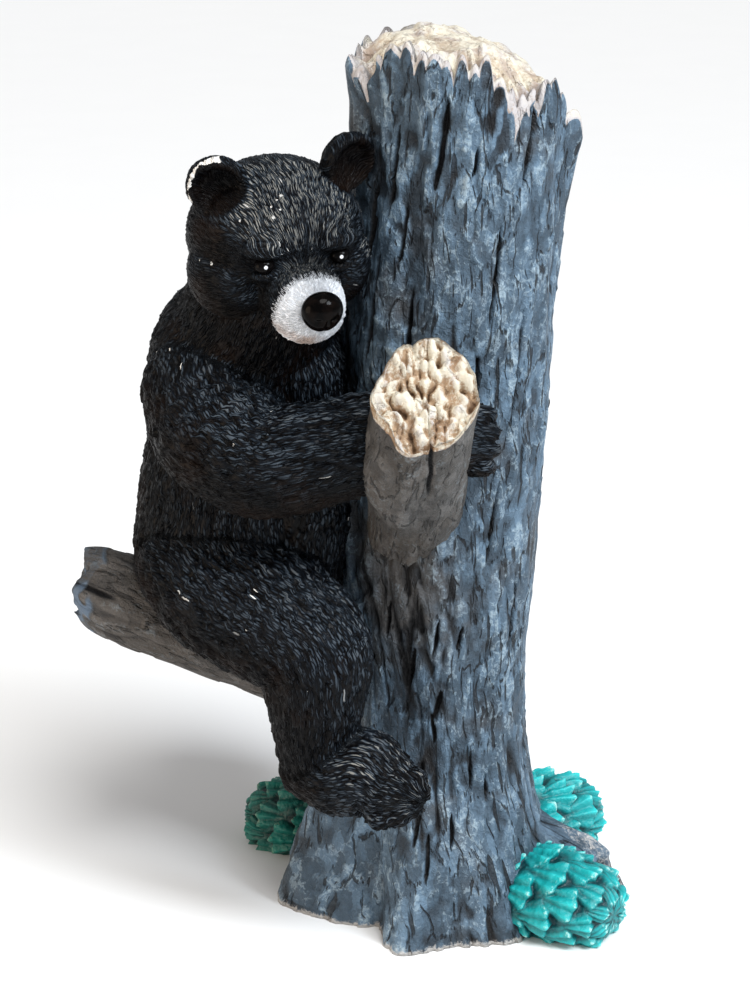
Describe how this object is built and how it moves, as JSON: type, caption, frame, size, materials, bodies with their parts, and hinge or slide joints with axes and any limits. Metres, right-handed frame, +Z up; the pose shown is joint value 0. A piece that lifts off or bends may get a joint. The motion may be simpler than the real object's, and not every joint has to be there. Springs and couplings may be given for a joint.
{
  "type": "ceramic bear figurine",
  "caption": "Painted ceramic figurine of a black bear cub sitting on a branch and hugging a broken tree trunk, with pine cones at its roots.",
  "frame": {"origin": "on the table, under the middle of the trunk's foot", "axes": "+Z up along the trunk, +X from the cub towards the trunk, -Y towards the viewer of the picture, on the side of the cub's face"},
  "size_m": [0.1134, 0.082, 0.1822],
  "materials": {
    "casting": "hand-painted cast ceramic, satin to semi-gloss",
    "fur": "black paint with blue-grey dry-brushed fur, semi-gloss, chipped to white here and there",
    "bark": "slate grey paint with pale dry-brushing and black in the cracks, satin",
    "pine_cones": "turquoise paint with cream on the edges of the scales, satin"
  },
  "bodies": {
    "root": {"bear_figurine": "casting"}
  },
  "joints": []
}
